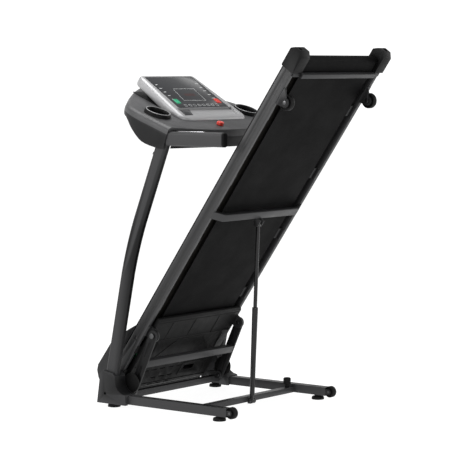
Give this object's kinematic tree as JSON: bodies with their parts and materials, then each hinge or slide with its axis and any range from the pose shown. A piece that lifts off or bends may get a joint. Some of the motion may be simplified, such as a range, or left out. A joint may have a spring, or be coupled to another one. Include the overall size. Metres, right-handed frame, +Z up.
{
  "type": "folding treadmill",
  "caption": "Folding home treadmill stored upright, with leaning uprights, tray console, handrails, belt deck, lift arms and gas strut.",
  "frame": {"origin": "centre of the footprint's bounding box, on the floor, with the deck stored upright", "axes": "+Z up, +Y towards the motor and console side, +X to the user's right"},
  "size_m": [0.66, 0.9312, 1.2994],
  "materials": {
    "frame_paint": "satin powder coat",
    "rail_paint": "satin powder coat",
    "steel": "zinc plated",
    "chrome": "polished",
    "black_plastic": "fine texture",
    "grey_plastic": "satin, fine texture",
    "silver_plastic": "silver painted",
    "gloss_black": "gloss",
    "panel_glass": "gloss, printed",
    "rubber": "matte",
    "belt_rubber": "fine diamond weave",
    "green_plastic": "gloss",
    "red_plastic": "gloss",
    "board_wood": "waxed black fibreboard",
    "circuit": "circuit board",
    "aluminium": "satin"
  },
  "bodies": {
    "base": {"base_side_tubes": "frame_paint", "base_cross_tubes": "frame_paint", "levelling_feet": "rubber", "base_brackets": "frame_paint", "base_pins": "steel", "rubber_stop": "rubber", "upright_left": "frame_paint", "upright_right": "frame_paint", "upright_cover_left": "grey_plastic", "upright_cover_right": "grey_plastic", "hinge_covers": "black_plastic", "upright_bolts": "steel", "console_crossbar": "frame_paint", "tray_top": "grey_plastic", "tray_bottom": "grey_plastic", "cup_left": "gloss_black", "cup_right": "gloss_black", "safety_key_socket": "black_plastic", "handrails": "frame_paint", "handrail_caps": "black_plastic", "pulse_plates": "chrome", "console_housing": "silver_plastic", "console_back": "black_plastic", "console_glass": "panel_glass", "display_board": "circuit"},
    "base_wheel_left": {"base_wheel_left": "black_plastic"},
    "base_wheel_right": {"base_wheel_right": "black_plastic"},
    "lift_frame": {"lift_arm_left": "frame_paint", "lift_arm_right": "frame_paint", "lift_cross_tube": "frame_paint"},
    "deck": {"deck_rail_left": "rail_paint", "deck_rail_right": "rail_paint", "deck_cross_bars": "frame_paint", "mid_bar": "frame_paint", "deck_board": "board_wood", "running_belt": "belt_rubber", "roller_axles": "steel", "foot_rails": "black_plastic", "end_caps": "black_plastic", "deck_cushions": "rubber", "deck_brackets": "frame_paint", "deck_bolts": "steel", "drive_motor": "aluminium", "motor_mount": "steel", "drive_belt": "rubber", "control_board": "circuit", "belly_pan": "black_plastic", "motor_hood": "black_plastic", "power_inlet": "black_plastic"},
    "front_roller": {"front_roller": "steel"},
    "rear_roller": {"rear_roller": "steel"},
    "motor_shaft": {"motor_shaft": "steel"},
    "caster_wheel_left": {"caster_wheel_left": "black_plastic"},
    "caster_wheel_right": {"caster_wheel_right": "black_plastic"},
    "strut_cylinder": {"strut_cylinder": "gloss_black"},
    "strut_rod": {"strut_rod": "gloss_black"},
    "start_button": {"start_button": "green_plastic"},
    "stop_button": {"stop_button": "red_plastic"},
    "safety_key": {"safety_key": "red_plastic"},
    "power_switch": {"power_switch": "red_plastic"}
  },
  "joints": [
    {"name": "fold", "type": "hinge", "parent": "base", "child": "lift_frame", "pos_m": [0, 0.28987, 0.057], "axis": [1, 0, 0], "range_deg": [0, 58.1]},
    {"name": "incline", "type": "hinge", "parent": "lift_frame", "child": "deck", "pos_m": [0, 0.19408, 0.26623], "axis": [1, 0, 0], "range_deg": [-4, 0]},
    {"name": "strut_tilt", "type": "hinge", "parent": "base", "child": "strut_cylinder", "pos_m": [0, -0.0601, 0.024], "axis": [1, 0, 0], "range_deg": [-1, 83.01]},
    {"name": "strut_stroke", "type": "slide", "parent": "strut_cylinder", "child": "strut_rod", "axis": [0, -0.0422, 0.9991], "range_m": [-0.2759, 0.001]},
    {"name": "base_wheel_left_spin", "type": "hinge", "parent": "base", "child": "base_wheel_left", "pos_m": [-0.2975, -0.19912, 0.033], "axis": [1, 0, 0], "continuous": true},
    {"name": "base_wheel_right_spin", "type": "hinge", "parent": "base", "child": "base_wheel_right", "pos_m": [0.2975, -0.19912, 0.033], "axis": [1, 0, 0], "continuous": true},
    {"name": "caster_wheel_left_spin", "type": "hinge", "parent": "deck", "child": "caster_wheel_left", "pos_m": [-0.2482, -0.39785, 1.11159], "axis": [1, 0, 0], "continuous": true},
    {"name": "caster_wheel_right_spin", "type": "hinge", "parent": "deck", "child": "caster_wheel_right", "pos_m": [0.2488, -0.39785, 1.11159], "axis": [1, 0, 0], "continuous": true},
    {"name": "front_roller_spin", "type": "hinge", "parent": "deck", "child": "front_roller", "pos_m": [0, 0.26814, 0.25461], "axis": [1, 0, 0], "continuous": true},
    {"name": "rear_roller_spin", "type": "hinge", "parent": "deck", "child": "rear_roller", "pos_m": [0, -0.42961, 1.2511], "axis": [1, 0, 0], "continuous": true},
    {"name": "motor_shaft_spin", "type": "hinge", "parent": "deck", "child": "motor_shaft", "pos_m": [0, 0.36876, 0.16147], "axis": [1, 0, 0], "continuous": true},
    {"name": "start_press", "type": "slide", "parent": "base", "child": "start_button", "axis": [0, 0.5446, -0.8387], "range_m": [0, 0.0012], "stiffness_N_per_m": 300},
    {"name": "stop_press", "type": "slide", "parent": "base", "child": "stop_button", "axis": [0, 0.5446, -0.8387], "range_m": [0, 0.0012], "stiffness_N_per_m": 300},
    {"name": "safety_key_pull", "type": "slide", "parent": "base", "child": "safety_key", "axis": [0, -0.3502, 0.9367], "range_m": [0, 0.03]},
    {"name": "power_rocker", "type": "hinge", "parent": "deck", "child": "power_switch", "pos_m": [-0.088, 0.40416, 0.05686], "axis": [1, 0, 0], "range_deg": [0, 6]}
  ],
  "couplings": [
    {"joint": "strut_tilt", "follows": "fold", "ratio": 1.4115},
    {"joint": "strut_stroke", "follows": "fold", "m_per_rad": -0.27105},
    {"joint": "rear_roller_spin", "follows": "front_roller_spin", "ratio": 1},
    {"joint": "motor_shaft_spin", "follows": "front_roller_spin", "ratio": 2.5385}
  ]
}
